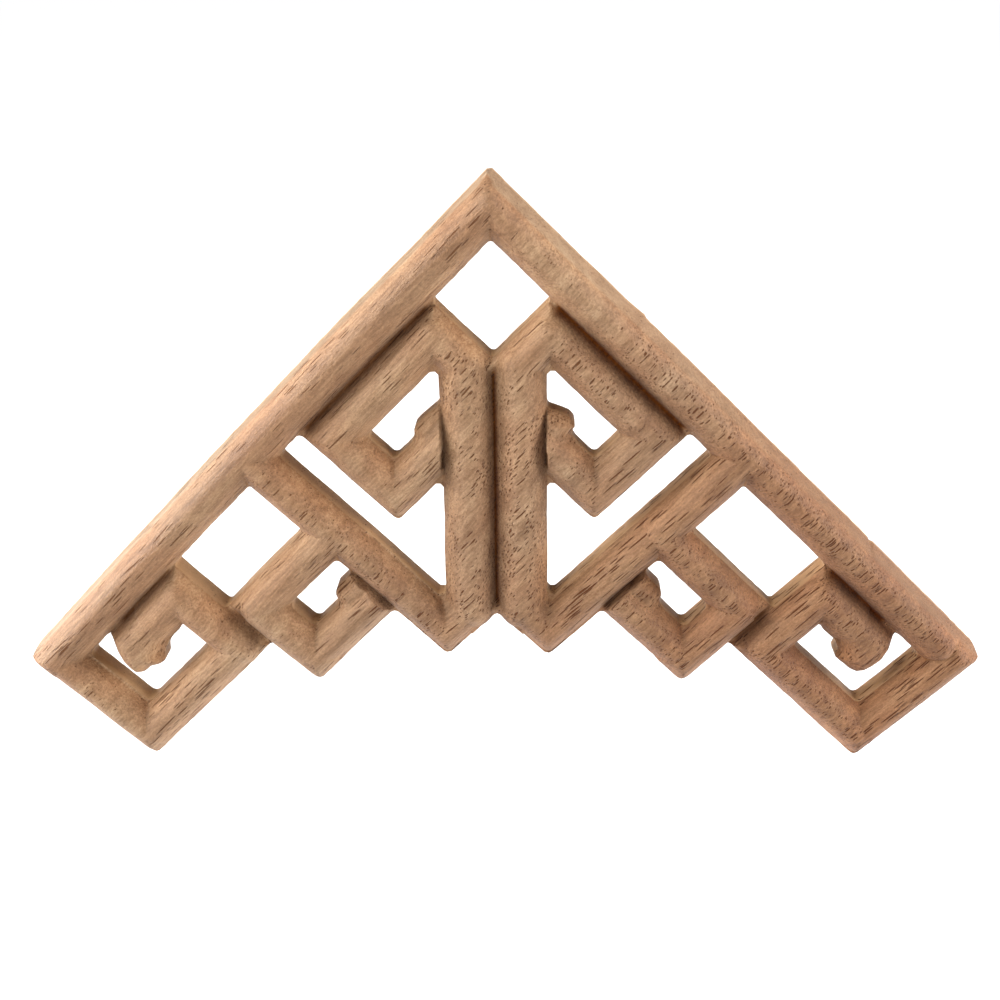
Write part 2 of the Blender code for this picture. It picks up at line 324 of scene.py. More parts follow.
print("middle of a bar is", wood_distance(np.array([50.0]), np.array([BAR / 2]))[0], "mm inside")

# %% [markdown]
# ## The bars
# Every bar is rounded over like a half-round moulding on a low upright wall. A bar is followed
# along its middle line, and its height depends only on how far a point lies to the side of that
# line. Where two bars turn a corner, the outer quarter is a small hipped roof, as in a mitre.

# %% Height across a bar
SHOULDER, THICKNESS, ROUNDNESS, FLOOR = 3.3, 6.6, 2.05, 3.2


def crown(share, top=THICKNESS):
    """Segment of a round: shoulder + rise * (1 - share^n), with share 0 at the crest and 1 at the edge."""
    return SHOULDER + (top - SHOULDER) * (1 - np.clip(share, 0, 1) ** ROUNDNESS)


def rail(u, v, start, end, half, lift):
    """Crown of the distance to the line from start to end, only between its ends."""
    (u0, v0), (u1, v1) = start, end
    length = math.hypot(u1 - u0, v1 - v0)
    along = ((u - u0) * (u1 - u0) + (v - v0) * (v1 - v0)) / length
    aside = np.abs((u - u0) * (v1 - v0) - (v - v0) * (u1 - u0)) / length
    on_it = (along >= -1e-6) & (along <= length + 1e-6) & (aside <= half)
    return np.where(on_it, crown(aside / half) + lift, FLOOR)


LOWER_ROOF = 1.5
WORN_POWER, SQUARE_POWER = 3, 6


def turn_corner(u, v, corner, half, kind, lift):
    """Roof over a corner: crown of (du^n + dv^n)^(1/n), with a low n if worn and a high n if square.
    If round, crown of the distance, with a lower square roof that fills the corner under it."""
    du, dv = np.abs(u - corner[0]), np.abs(v - corner[1])
    power = WORN_POWER if kind == "worn" else SQUARE_POWER
    worn = (du ** power + dv ** power) ** (1 / power)
    roof = np.where(np.maximum(du, dv) <= half, crown(worn / half) + lift, FLOOR)
    if kind == "round":
        away = np.hypot(du, dv)
        dome = np.where(away <= half, crown(away / half) + lift, FLOOR)
        filling = crown(np.maximum(du, dv) / half, THICKNESS - LOWER_ROOF)
        roof = np.maximum(dome, np.where(roof > FLOOR, filling, FLOOR))
    return roof


print("heights across a bar, mm:", np.round(crown(np.linspace(0, 1, 6)), 2))

# %% [markdown]
# A dozen bars make each half, and only the outer two differ from leg to leg. They are carved one
# after another, so their crests differ by a tenth of a millimetre or more, which is what shows the
# mitres and the places where one bar runs into another. The kind at each corner says whether it
# is squared, worn soft, rounded or simply runs into its neighbour.

# %% The bars of one half
RIGHT_STOP = 93.3
second, edge_in, end_in = INNER_BAR - HALF, LEG - HALF, END_WIDTH - HALF
hook_line, spiral_line = (END_TOP + END_BAR) / 2, (SPIRAL_IN + SPIRAL_OUT) / 2
cross, point = (CROSS_TOP + CROSS_LOW) / 2, POINT_EDGE - HALF
side, back = (CURL_HOLE + CURL_BAR) / 2, (STEP_HOLE + STEP_OUT) / 2
step_line, step_far = (SIDE_HOLE + STEP_BAR) / 2, (STEP_HOLE_END + STEP_END) / 2
first = TOP_HOLE_FAR + HALF
upright_ends = (first, first - DIAGONAL / 2), (point + DIAGONAL / 2, point)
left_end = [
    ([((HALF, HALF), "worn"), ((edge_in, HALF), "square")], HALF, 0.0),
    ([((edge_in, HALF), "plain"), ((edge_in, end_in), "square")], HALF, -0.25)]
right_end = [
    ([((HALF, HALF), "worn"), ((RIGHT_STOP, HALF), "round")], HALF, 0.0),
    ([((edge_in, HALF), "square"), ((edge_in, end_in), "square")], HALF, -0.45)]
bars = [
    ([((edge_in, end_in), "plain"), ((hook_line, end_in), "plain")], HALF, -0.12),
    ([((hook_line, end_in), "round"), ((hook_line, second), "round"), ((CURL_END - 4, second), "plain")],
     HALF + 0.25, -0.05),
    ([((cross, HALF), "plain"), ((cross, step_line), "round"), ((step_far, step_line), "round")], HALF, 0.0),
    ([((step_far, step_line), "plain"), ((step_far, back), "square")], HALF + 0.25, -0.1),
    ([((step_far, back), "plain"), ((CROSS_LOW, back), "plain")], HALF, -0.2),
    ([((cross, step_line), "plain"), ((cross, point), "square"), ((point + DIAGONAL / 2, point), "plain")],
     HALF, -0.5),
    ([(upright_ends[0], "round"), (upright_ends[1], "round")], UPRIGHT / 2, -0.12),
    ([(upright_ends[0], "plain"), ((first, second), "round"), ((spiral_line, second), "square")],
     HALF, -0.15),
    ([((spiral_line, second), "plain"), ((spiral_line, side), "square")], HALF, -0.22),
]
curl_bar = ((spiral_line, side), (UPPER_LOBE - 3.0, side), HALF, -0.3)
print(len(left_end) + len(bars) + 1, "bars on each half")

# %% [markdown]
# The lump on a curled end has no middle line, so its height is the same half-round, taken from
# its own edge inwards. All bars and lumps are then laid over each other and the highest one wins,
# as it does when neighbouring bars are carved into one board.

# %% The carved height
BROKEN_LEFT, UPPER_RIGHT, STEP_TOP, LOBE_HALF = 4.5, 5.2, 5.1, 2.4
FLANK_FOOT, RIGHT_STEEP, LEFT_STEEP = 0.5, 4.8, 8.5


def lump(u, v, loop, half, top):
    """Crown of how far the point is from being half a bar inside the loop."""
    inside = edge_distance(u, v, [loop])
    return np.where(inside >= 0, crown(1 - np.clip(inside / half, 0, 1), top), FLOOR)


def carved_free(u, v):
    """The highest of all bars, corners and lumps at each point, over the floor of the grooves."""
    height = np.full(u.shape, FLOOR)
    halves = ((u, v, left_end, hook_left, upper_left, BROKEN_LEFT),
              (v, u, right_end, hook_right, upper_right, UPPER_RIGHT))
    for a, b, outer_bars, hooked, upper, upper_top in halves:
        for line, half, lift in outer_bars + bars:
            for (start, _), (end, _) in zip(line, line[1:]):
                height = np.maximum(height, rail(a, b, start, end, half, lift))
            for corner, kind in line:
                if kind != "plain":
                    height = np.maximum(height, turn_corner(a, b, corner, half, kind, lift))
        end = lump(a, b, rounded(hook(hooked, FAR_SIDE, HOOK_CROWN_FROM), 0.4), HALF, THICKNESS - 0.05)
        height = np.maximum(height, end)
        beside = np.maximum(rail(a, b, *curl_bar), lump(a, b, rounded(upper, 0.3), LOBE_HALF, upper_top))
        height = np.maximum(height, np.where(a - b > DIAGONAL, beside, FLOOR))
        small = lump(a, b, rounded(step_lobe, 0.4), LOBE_HALF, STEP_TOP)
        height = np.maximum(height, np.where(a > CROSS_LOW, small, FLOOR))
    return height


def flank(u, v):
    """The planed outer sides lean in: foot + steepness * distance from the side, steeper on the left leg."""
    return FLANK_FOOT + np.clip(np.minimum(RIGHT_STEEP * u, LEFT_STEEP * v), 0, None)


def carved(u, v):
    """The carved height, cut down where the outer sides lean in."""
    return np.minimum(carved_free(u, v), flank(u, v))


print("crest of the outer bar:", carved(np.array([50.0]), np.array([HALF]))[0], "mm")

# %% [markdown]
# ## Hand work
# Nothing carved by hand is quite straight. Smooth random values on a coarse grid, seeded so that
# they come out the same each time, bend the whole plan by a tenth of a millimetre or two, let the
# crests rise and fall, and leave the sawn edges slightly ragged. The outer side of the right leg
# also has a small splinter and a small notch.

# %% Smooth noise
CELLS = 64


def drift(u, v, size, seed):
    """Random values on a grid of the given size, blended with 3t^2 - 2t^3 between its corners, -1 to 1."""
    table = np.random.default_rng(seed).uniform(-1, 1, (CELLS, CELLS))
    a, b = u / size + 9.3, v / size + 5.7
    i, j = np.floor(a).astype(int), np.floor(b).astype(int)
    s, t = a - i, b - j
    s, t = s * s * (3 - 2 * s), t * t * (3 - 2 * t)
    pick = lambda di, dj: table[(i + di) % CELLS, (j + dj) % CELLS]
    return (pick(0, 0) * (1 - s) + pick(1, 0) * s) * (1 - t) + (pick(0, 1) * (1 - s) + pick(1, 1) * s) * t


BOW, BOW_REACH = 0.28, 6
NOTCH, SPLINTER, TORN_REACH = 0.28, 0.2, 0.8
STRAY, STRAY_SIZE, SHAKE, SHAKE_SIZE = 0.16, 17, 0.045, 5
RISE, RISE_SIZE, RIPPLE, RIPPLE_SIZE, GOUGE, LOWERED = 0.06, 13, 0.010, 2.3, 0.018, 0.07


def wander(u, v):
    """Where each point strays to: two sizes of drift, a bow of the two long edges, a notch and a splinter."""
    bow_u = -BOW * np.sin(math.pi * v / LEG) * np.exp(-u / BOW_REACH)
    bow_v = -BOW * np.sin(math.pi * u / LEG) * np.exp(-v / BOW_REACH)
    shift_u = STRAY * drift(u, v, STRAY_SIZE, 1) + SHAKE * drift(u, v, SHAKE_SIZE, 2)
    shift_v = STRAY * drift(u, v, STRAY_SIZE, 3) + SHAKE * drift(u, v, SHAKE_SIZE, 4)
    notch = NOTCH * np.interp(v, [74.9, 75.2, 76.0], [0, 1, 0])
    splinter = SPLINTER * np.interp(v, [25.0, 28.6, 29.1], [0, 1, 0])
    torn = (notch - splinter) * np.exp(-np.clip(u, 0, None) / TORN_REACH)
    return u + shift_u + bow_u + torn, v + shift_v + bow_v


def uneven(u, v, height):
    """Crests rise and fall by three sizes of drift and are a little lower, most at the top of the bar."""
    share = np.clip((height - SHOULDER) / (THICKNESS - SHOULDER), 0, 1)
    gouge = GOUGE * drift(u / 9, v, 1.5, 9)
    return height + share * (RISE * drift(u, v, RISE_SIZE, 5) + RIPPLE * drift(u, v, RIPPLE_SIZE, 6)
                             + gouge - LOWERED)


strayed = wander(np.array([50.0]), np.array([3.0]))
print("the point at 50, 3 mm strays to", np.round(strayed, 3).ravel())

# %% [markdown]
# ## The front surface
# The plan gets a net of lines, with one exactly on every edge and groove of the drawing, so the
# grooves stay crisp. Cells that lie wholly in the wood become two triangles each, split along the
# side that follows a groove. Cells that the edge cuts through are clipped where it crosses them.

# %% The net
STEP, LEAST_STEP = 0.27, 0.12
SKIRT, MARGIN = 0.42, 0.6
lines = [KEYS[0] - MARGIN]
for end in KEYS + [KEYS[-1] + MARGIN]:
    if end - lines[-1] > LEAST_STEP:
        count = max(1, round((end - lines[-1]) / STEP))
        lines += list(np.linspace(lines[-1], end, count + 1)[1:])
lines = np.array(lines)
net_u, net_v = np.meshgrid(lines, lines, indexing="ij")
net_distance = wood_distance(net_u, net_v) - SKIRT
print("net of", net_u.shape, "lines,", int((net_distance > 0).sum()), "knots in the wood")

# %% [markdown]
# A net alone would give the outline stair steps. Where a thread of the net runs out of the wood,
# a new point is set on it just where the saw would have cut, found from the two distances.

# %% Clip the net to the wood
NEAREST_CUT = 0.06


def crossing(along_u):
    """Where the edge crosses the threads in one direction: a share of the thread, by the two distances."""
    near = net_distance[:-1] if along_u else net_distance[:, :-1]
    far = net_distance[1:] if along_u else net_distance[:, 1:]
    cut = (near > 0) != (far > 0)
    share = np.clip(near[cut] / (near[cut] - far[cut]), NEAREST_CUT, 1 - NEAREST_CUT)
    i, j = np.nonzero(cut)
    du = share * (lines[i + 1] - lines[i]) if along_u else 0
    dv = 0 if along_u else share * (lines[j + 1] - lines[j])
    return cut, lines[i] + du, lines[j] + dv


in_wood = net_distance > 0
cut_u, at_u, at_v = crossing(True)
cut_v, also_u, also_v = crossing(False)
knots, threads = int(in_wood.sum()), int(cut_u.sum())
plan_u = np.concatenate([net_u[in_wood], at_u, also_u])
plan_v = np.concatenate([net_v[in_wood], at_v, also_v])
knot_id, u_id, v_id = (np.full(mask.shape, -1) for mask in (in_wood, cut_u, cut_v))
knot_id[in_wood] = np.arange(knots)
u_id[cut_u] = knots + np.arange(threads)
v_id[cut_v] = knots + threads + np.arange(int(cut_v.sum()))
print(knots, "knots and", len(plan_u) - knots, "points on the edge")

# %% [markdown]
# The carved side is made of small flat facets. A whole square of the net is split between the two
# corners that are closest in height, so that no facet bridges a groove or a mitre. A cut square is
# filled by a fan from one of its points.

# %% Triangles of the front
height = carved(plan_u, plan_v)
slots = np.stack([knot_id[:-1, :-1], u_id[:, :-1], knot_id[1:, :-1], v_id[1:],
                  knot_id[1:, 1:], u_id[:, 1:], knot_id[:-1, 1:], v_id[:-1]], axis=-1).reshape(-1, 8)
case = sum((slots[:, 2 * side] >= 0).astype(int) << side for side in range(4))
whole = slots[case == 15][:, ::2]
level = height[whole]
flip = np.abs(level[:, 0] - level[:, 2]) > np.abs(level[:, 1] - level[:, 3])
whole[flip] = np.roll(whole[flip], 1, axis=1)
triangles = [whole[:, [0, 1, 2]], whole[:, [0, 2, 3]]]
rim = []
for number in range(1, 15):
    walk = [slot for slot in range(8)
            if (number >> slot // 2 & 1 if slot % 2 == 0
                else (number >> slot // 2 & 1) != (number >> (slot // 2 + 1) % 4 & 1))]
    cells = slots[case == number]
    triangles += [cells[:, [walk[0], walk[k], walk[k + 1]]] for k in range(1, len(walk) - 1)]
    rim += [cells[:, [one, two]] for one, two in zip(walk, walk[1:] + walk[:1]) if one % 2 and two % 2]
triangles, rim = np.concatenate(triangles), np.concatenate(rim)
print(len(triangles), "triangles on the front,", len(rim), "steps round the edge")

# %% [markdown]
# ## The edge and the back
# Right at the edge a half-round turns steeply down, too steeply for the net. There a strip is
# carried along the edge instead: its rows run from the end of the net over the shoulder, down the
# sawn wall, and over a slightly worn corner to the flat back.

# %% Rows of the strip
LEAST_SLOPE, LONGEST_MOVE = 0.4, 0.25


def move_to(u, v, inset):
    """Go down the slope of the distance to the inset, p - slope * (distance - inset), a short way at most."""
    small = 0.01
    slope_u = wood_distance(u + small, v) - wood_distance(u - small, v)
    slope_v = wood_distance(u, v + small) - wood_distance(u, v - small)
    steep = np.maximum(np.hypot(slope_u, slope_v), LEAST_SLOPE * small)
    away = np.clip(wood_distance(u, v) - inset, -LONGEST_MOVE, LONGEST_MOVE)
    return u - slope_u / steep * away, v - slope_v / steep * away


ring = np.unique(rim)
insets = [SKIRT, 0.25, 0.1, 0.03]
rows = [(plan_u[ring], plan_v[ring])]
for inset in insets[1:]:
    rows.append(move_to(*rows[-1], inset))
tops = [carved(*row) for row in rows]
low = np.minimum(tops[-1], SHOULDER)
strip_rows = [(1, tops[1]), (2, tops[2]), (3, low), (3, low * 0.55), (3, low * 0.1), (2, low * 0.0)]
rows_u = [rows[k][0] for k, _ in strip_rows]
rows_v = [rows[k][1] for k, _ in strip_rows]
rows_h = [level for _, level in strip_rows]
print(len(ring), "points in a row,", len(strip_rows), "rows from the net round to the back")

# %% [markdown]
# Each row of the strip is joined to the next by two triangles for every step round the edge. The
# ups and downs of the hand are added here, and a fine raggedness that grows towards the sawn edge.

# %% Join the strip to the front
order = np.full(len(plan_u), -1)
order[ring] = np.arange(len(ring))
links = order[rim]
row_ids = [ring] + [len(plan_u) + k * len(ring) + np.arange(len(ring)) for k in range(len(strip_rows))]
strip = []
for upper, lower in zip(row_ids, row_ids[1:]):
    one, two = links[:, 0], links[:, 1]
    strip += [np.stack([upper[two], upper[one], lower[one]], axis=1),
              np.stack([upper[two], lower[one], lower[two]], axis=1)]
all_u = np.concatenate([plan_u] + rows_u)
all_v = np.concatenate([plan_v] + rows_v)
all_h = np.concatenate([height] + rows_h)
all_h = uneven(all_u, all_v, all_h)
edge_share = np.concatenate([np.zeros(len(plan_u))] + [np.full(len(ring), 1 - insets[k] / SKIRT)
                                                       for k, _ in strip_rows])
RAGGED, RAGGED_SIZE = 0.04, 0.9
all_u = all_u + RAGGED * edge_share * drift(all_u, all_v, RAGGED_SIZE, 7)
all_v = all_v + RAGGED * edge_share * drift(all_u, all_v, RAGGED_SIZE, 8)
print(sum(map(len, strip)), "triangles round the edge")

# %% [markdown]
# The back was never carved: it is the flat face that is glued to the furniture. It is filled from
# the last row of the strip, and a triangle stays only where its middle lies inside the wood.

# %% Close the back
last = row_ids[-1]
rim_u, rim_v = (row.astype(np.float32).astype(float) for row in (rows_u[-1], rows_v[-1]))
rim_points = [Vector(pair) for pair in zip(rim_u, rim_v)]
points, _, cells, sources, _, _ = delaunay_2d_cdt(rim_points, links.tolist(), [], 0, 1e-9)
cells = np.array(cells)
print(len(points) - len(rim_u), "points more than the rim has")
same = np.array([source[0] if source else -1 for source in sources])
corners = np.array([tuple(point) for point in points])[cells]
centre_u, centre_v = corners.mean(axis=1).T
inside = np.zeros(len(cells), bool)
for one, two in links:
    (u0, v0), (u1, v1) = (rim_u[one], rim_v[one]), (rim_u[two], rim_v[two])
    if v0 != v1:
        slant = (u1 - u0) / (v1 - v0)
        inside ^= ((v0 <= centre_v) != (v1 <= centre_v)) & (centre_u > u0 + (centre_v - v0) * slant)
across, along = corners[:, 1] - corners[:, 0], corners[:, 2] - corners[:, 0]
facing = across[:, 0] * along[:, 1] - across[:, 1] * along[:, 0] > 0
cells[facing] = cells[facing][:, ::-1]
back_faces = last[same[cells[inside]]]
print(len(back_faces), "triangles on the back,", int((~inside).sum()), "left out over the holes")

# %% [markdown]
# Only now do the millimetres of the plan become places in space. The applique is one piece of
# wood, so the fine surface rides on the only body of the solid and is shown in its place.

# %% Make the mesh
strayed_u, strayed_v = wander(all_u, all_v)
places = upright(strayed_u, strayed_v, all_h) / 1000
faces = np.concatenate([triangles] + strip + [back_faces])
mesh = bpy.data.meshes.new("carved_applique")
mesh.vertices.add(len(places))
mesh.vertices.foreach_set("co", places.astype(np.float32).ravel())
mesh.loops.add(faces.size)
mesh.loops.foreach_set("vertex_index", faces.astype(np.int32).ravel())
mesh.polygons.add(len(faces))
mesh.polygons.foreach_set("loop_start", np.arange(0, faces.size, 3, dtype=np.int32))
smooth = np.arange(len(faces)) < len(faces) - len(back_faces)
mesh.polygons.foreach_set("use_smooth", smooth)
mesh.update(calc_edges=True)
piece = bpy.data.objects.new("carved_applique", mesh)
bpy.context.scene.collection.objects.link(piece)
solid = bmesh.new()
solid.from_mesh(mesh)
loose = [edge for edge in solid.edges if len(edge.link_faces) != 2]
volume = solid.calc_volume(signed=True) * 1e6
print(len(faces), "triangles, volume", round(volume, 2), "cm3,", len(loose), "open edges")
solid.free()
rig.ride(piece, "root")
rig.replaces(piece, "applique")
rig.slot(piece, "raw_wood")

# %% [markdown]
# ## Painted shade and light, dust and scorch, and the sawn walls
# The grooves between bars are darkened, partly as painted shade and partly for dust and scorched
# fibres, and one scorched spot sits near the right end. The sawn walls are more orange than the
# carved crowns. The slopes near every edge are lighter, as painted light, and the planed sides get a
# painted sheen, paler and bluer, strongest on the left leg. These marks are stored on the surface as
# numbers from 0 to 1 that the wood's finish can read, because they follow the shape and not the grain.

# %% Groove and wall marks
depth_in = np.concatenate([net_distance[in_wood] + SKIRT, np.full(len(plan_u) - knots, SKIRT)]
                          + [np.full(len(ring), insets[k]) for k, _ in strip_rows])
# The grooves are darkened below these heights: partly painted shade, partly dust and scorched fibres.
SHADE_SCORCH_LEFT, SHADE_SCORCH_RIGHT, SHADE_SCORCH_SHORT = 4.0, 4.4, 3.7
SCORCH_U, SCORCH_V = 20.6, 98.3
long_groove = (np.minimum(all_u, all_v) < second) | (np.abs(all_u - all_v) < UPRIGHT)
shade_scorch_line = np.where(long_groove, np.where(all_u > all_v, SHADE_SCORCH_LEFT, SHADE_SCORCH_RIGHT), SHADE_SCORCH_SHORT)
groove = np.clip((shade_scorch_line - all_h) / 1.0, 0, 1) * np.clip((depth_in - 0.8) / 0.8, 0, 1)
groove *= np.where(all_u > all_v, 0.85, 1.0)
scorch = np.exp(-np.square((all_u - SCORCH_U) / 1.7) - np.square((all_v - SCORCH_V) / 0.55))
groove = np.maximum(groove, 0.75 * scorch * np.clip(0.6 + drift(all_u, all_v, 0.6, 10), 0, 1))
on_wall = np.concatenate([np.zeros(len(plan_u))] + [np.full(len(ring), float(k == 3)) for k, _ in strip_rows])
on_flank = np.clip((carved_free(all_u, all_v) - flank(all_u, all_v)) / 0.5 + 0.5, 0, 1)
wall = np.maximum(on_wall, 0.2 * on_flank)
# Lighter slopes within about 1.8 mm of every edge, less on the right leg's planed side: painted light.
edge = np.clip((1.8 - depth_in) / 0.9, 0, 1) * (1 - on_flank * np.clip(all_v / 80, 0, 1))
# The planed sides, full on the left leg and fading down the right leg: a painted sheen, paler and bluer, as from the
# lamp on the left.
painted_sheen = on_flank * np.clip(1 - all_v / 65, 0, 1)
for name, values in (("groove", groove), ("wall", wall), ("edge", edge), ("painted_sheen", painted_sheen)):
    mesh.attributes.new(name, "FLOAT", "POINT").data.foreach_set("value", values.astype(np.float32))
print("dark groove points:", int((groove > 0.5).sum()), " wall points:", int((wall > 0.5).sum()))

# %% [markdown]
# ## Raw wood
# The board is bare, open-pored wood, with its fibres along the left leg. One solid pattern runs
# through the whole board, stretched along the fibres, so the bars of the left leg show long lines
# and the bars of the right leg show short cut ends, without any picture being laid on.

# %% Helpers for the finish
wood = bpy.data.materials.new("raw_wood")
wood.use_nodes = True
tree = wood.node_tree
shader = tree.nodes["Principled BSDF"]


def add(kind, sockets, **settings):
    """One node of the finish: its settings, and each socket given a number or another node's output."""
    made = tree.nodes.new("ShaderNode" + kind)
    for name, value in settings.items():
        setattr(made, name, value)
    for key, value in sockets.items():
        if isinstance(value, bpy.types.NodeSocket):
            tree.links.new(value, made.inputs[key])
        else:
            made.inputs[key].default_value = value
    return made


def math_of(operation, one, two=0.0):
    """One sum, product or the like of two values."""
    return add("Math", {0: one, 1: two}, operation=operation).outputs[0]


def spread(value, low, high, to_low, to_high):
    """Move a value from one range to another, held at both ends."""
    return add("MapRange", {0: value, 1: low, 2: high, 3: to_low, 4: to_high}, clamp=True).outputs[0]


def tinted(share, colour, other):
    """Blend a colour towards another by a share."""
    return add("Mix", {0: share, 6: colour, 7: other}, data_type="RGBA").outputs[2]


def shaded(share, colour, factor):
    """Multiply a colour by a factor colour, as far as the share says."""
    return add("Mix", {0: share, 6: colour, 7: factor}, data_type="RGBA", blend_type="MULTIPLY").outputs[2]


def tones_along(value, tones):
    """A row of colours, each at its place from 0 to 1, blended in between."""
    made = add("ValToRGB", {0: value})
    stops = made.color_ramp.elements
    stops.remove(stops[1])
    stops[0].position, stops[0].color = tones[0][0], (*tones[0][1], 1)
    for position, tone in tones[1:]:
        stops.new(position).color = (*tone, 1)
    return made.outputs["Color"]


place = add("TexCoord", {})
grain = add("Mapping", {0: place.outputs["Object"], "Rotation": (0, math.pi / 4, 0),
                        "Scale": (1000, 1000, 1000)})
print("grain runs along the left leg")

# %% [markdown]
# Wood is a bundle of fibres and vessels. The fibres are a cloudy noise drawn out along the grain,
# and a cut vessel is a long thin cell round a scattered point. The grain sways a little, and more
# vessels lie open towards the end of the right leg.

# %% Patterns in the board
def stretched(along, across):
    """The place in the board, counted in cells of the pattern: along the fibres and across them."""
    return add("Mapping", {0: bent, "Scale": (along, across, across)}).outputs[0]


def noise(along, across, detail=3.0, rough=0.55):
    """Cloudy noise with so many cells a millimetre."""
    return add("TexNoise", {"Vector": stretched(along, across), "Scale": 1.0, "Detail": detail,
                            "Roughness": rough}).outputs["Fac"]


def pores(along, across, width, spare, offset=0.0):
    """Cut vessels: 1 inside long thin cells round scattered points, thinner where the noise is low."""
    moved = add("VectorMath", {0: stretched(along, across), 1: (offset,) * 3}, operation="ADD").outputs[0]
    cells = add("TexVoronoi", {"Vector": moved, "Scale": 1.0, "Randomness": 1.0})
    where = spread(spare, 0.37, 0.55, 0.2, 1.0)
    return spread(math_of("DIVIDE", cells.outputs["Distance"], where), width * 0.8, width, 1.0, 0.0)


bent = grain.outputs[0]
slow = add("Mapping", {0: bent, "Scale": (0.05, 0.12, 0.12)}).outputs[0]
sway = add("TexNoise", {"Vector": slow, "Scale": 1.0, "Detail": 1.0})
shift = add("VectorMath", {0: sway.outputs["Color"], 1: (0.0, 1.6, 1.6)}, operation="MULTIPLY").outputs[0]
bent = add("VectorMath", {0: bent, 1: shift}, operation="ADD").outputs[0]
streaks = noise(0.03, 0.42, 4.0, 0.6)
fibres = noise(0.30, 2.6, 3.0, 0.7)
speckle = noise(2.6, 4.2, 2.0, 0.75)
clouds = noise(0.10, 0.13, 1.0)
patches = noise(0.08, 0.22, 1.0)
across_grain = add("SeparateXYZ", {0: bent}).outputs["Z"]
down_right = spread(across_grain, 32.7, -67.3, 0.0, 1.0)
open_grain = math_of("ADD", patches, spread(down_right, 0.06, 0.62, -0.085, 0.135))
short_pores = pores(0.125, 2.0, 0.26, open_grain)
more_pores = pores(0.17, 2.5, 0.265, open_grain, 7.3)
long_pores = pores(0.05, 1.2, 0.15, clouds)
print("patterns of fibres and vessels ready")

# %% [markdown]
# The board is palest near the apex and turns redder towards the end of the right leg. Streaks,
# clouds, fibres and fine speckles are laid over that, each as a tint.

# %% Tones of the board
STREAKS = [(0.33, (0.385, 0.232, 0.125)), (0.5, (0.49, 0.315, 0.185)), (0.68, (0.59, 0.405, 0.25))]
BANDS = [(0.04, (0.55, 0.48, 0.41)), (0.12, (0.68, 0.64, 0.58)), (0.38, (0.58, 0.54, 0.50)),
         (0.5, (0.57, 0.485, 0.405)), (0.61, (0.51, 0.405, 0.315)), (0.76, (0.49, 0.37, 0.28)),
         (0.89, (0.475, 0.36, 0.265)), (0.93, (0.53, 0.395, 0.29))]
CLOUD_TINT, FIBRE_TINT = (1.0, 0.88, 0.80, 1), (0.62, 0.55, 0.47, 1)
DARK_SPECK, LIGHT_SPECK = (0.70, 0.64, 0.58, 1), (1.5, 1.5, 1.5, 1)
colour = shaded(1.0, tones_along(streaks, STREAKS), tones_along(down_right, BANDS))
colour = shaded(spread(clouds, 0.38, 0.62, 0.0, 0.6), colour, CLOUD_TINT)
colour = shaded(spread(fibres, 0.32, 0.62, 1.0, 0.0), colour, FIBRE_TINT)
colour = shaded(spread(speckle, 0.3, 0.52, 0.8, 0.0), colour, DARK_SPECK)
colour = shaded(spread(speckle, 0.56, 0.76, 0.0, 0.6), colour, LIGHT_SPECK)
print(len(STREAKS) + len(BANDS), "tones of the board")

# %% [markdown]
# Surfaces that cut across the fibres are darker, and there the vessels show least. The painted
# light on the edge slopes, the painted sheen on the planed sides, sawn walls, vessels and the
# grooves' painted shade, dust and scorch come last, in that order. Grooves and vessels are also
# duller than the rest.

# %% Colour of the wood
# The edge tint is painted light on the slopes near the edges, and the pale tint a painted sheen on the planed sides.
END_TINT, EDGE_LIGHT_TINT, PAINTED_SHEEN_TINT = (0.82, 0.68, 0.55, 1), (1.28, 1.28, 1.27, 1), (0.88, 1.10, 1.42, 1)
WALL_COLOUR, PORE_COLOUR = (0.50, 0.30, 0.145, 1), (0.085, 0.029, 0.011, 1)
# The groove tint is partly painted shade and partly dust and scorched fibres.
GROOVE_SHADE_SCORCH_TINT = (0.42, 0.20, 0.05, 1)
ALONG_FIBRES = (0.7071, 0.0, 0.7071)
end_on = add("VectorMath", {0: place.outputs["Normal"], 1: ALONG_FIBRES}, operation="DOT_PRODUCT")
end_on = spread(math_of("ABSOLUTE", end_on.outputs["Value"]), 0.25, 0.95, 0.0, 1.0)
groove_shade_scorch_mark, wall_mark, edge_light_mark, painted_sheen_mark = (
    add("Attribute", {}, attribute_name=name).outputs["Fac"] for name in ("groove", "wall", "edge", "painted_sheen"))
colour = shaded(math_of("MULTIPLY", end_on, 0.7), colour, END_TINT)
colour = shaded(edge_light_mark, colour, EDGE_LIGHT_TINT)
colour = shaded(painted_sheen_mark, colour, PAINTED_SHEEN_TINT)
colour = tinted(math_of("MULTIPLY", wall_mark, 0.6), colour, WALL_COLOUR)
pore_mark = math_of("MAXIMUM", short_pores, more_pores)
pore_mark = math_of("MULTIPLY", pore_mark, spread(end_on, 0.2, 0.9, 1.0, 0.3))
pore_mark = math_of("MAXIMUM", pore_mark, long_pores)
pore_share = math_of("MULTIPLY", pore_mark, spread(down_right, 0.05, 0.4, 0.7, 0.92))
colour = tinted(pore_share, colour, PORE_COLOUR)
colour = shaded(groove_shade_scorch_mark, colour, GROOVE_SHADE_SCORCH_TINT)
gloss = math_of("MULTIPLY", spread(groove_shade_scorch_mark, 0.0, 0.6, 0.35, 0.0), spread(pore_mark, 0.0, 1.0, 1.0, 0.1))
tree.links.new(gloss, shader.inputs["Specular IOR Level"])
shader.inputs["Sheen Weight"].default_value = 0.07
shader.inputs["Sheen Roughness"].default_value = 0.5
tree.links.new(colour, shader.inputs["Base Color"])
shader.inputs["Roughness"].default_value = 0.62
print("colour ready")

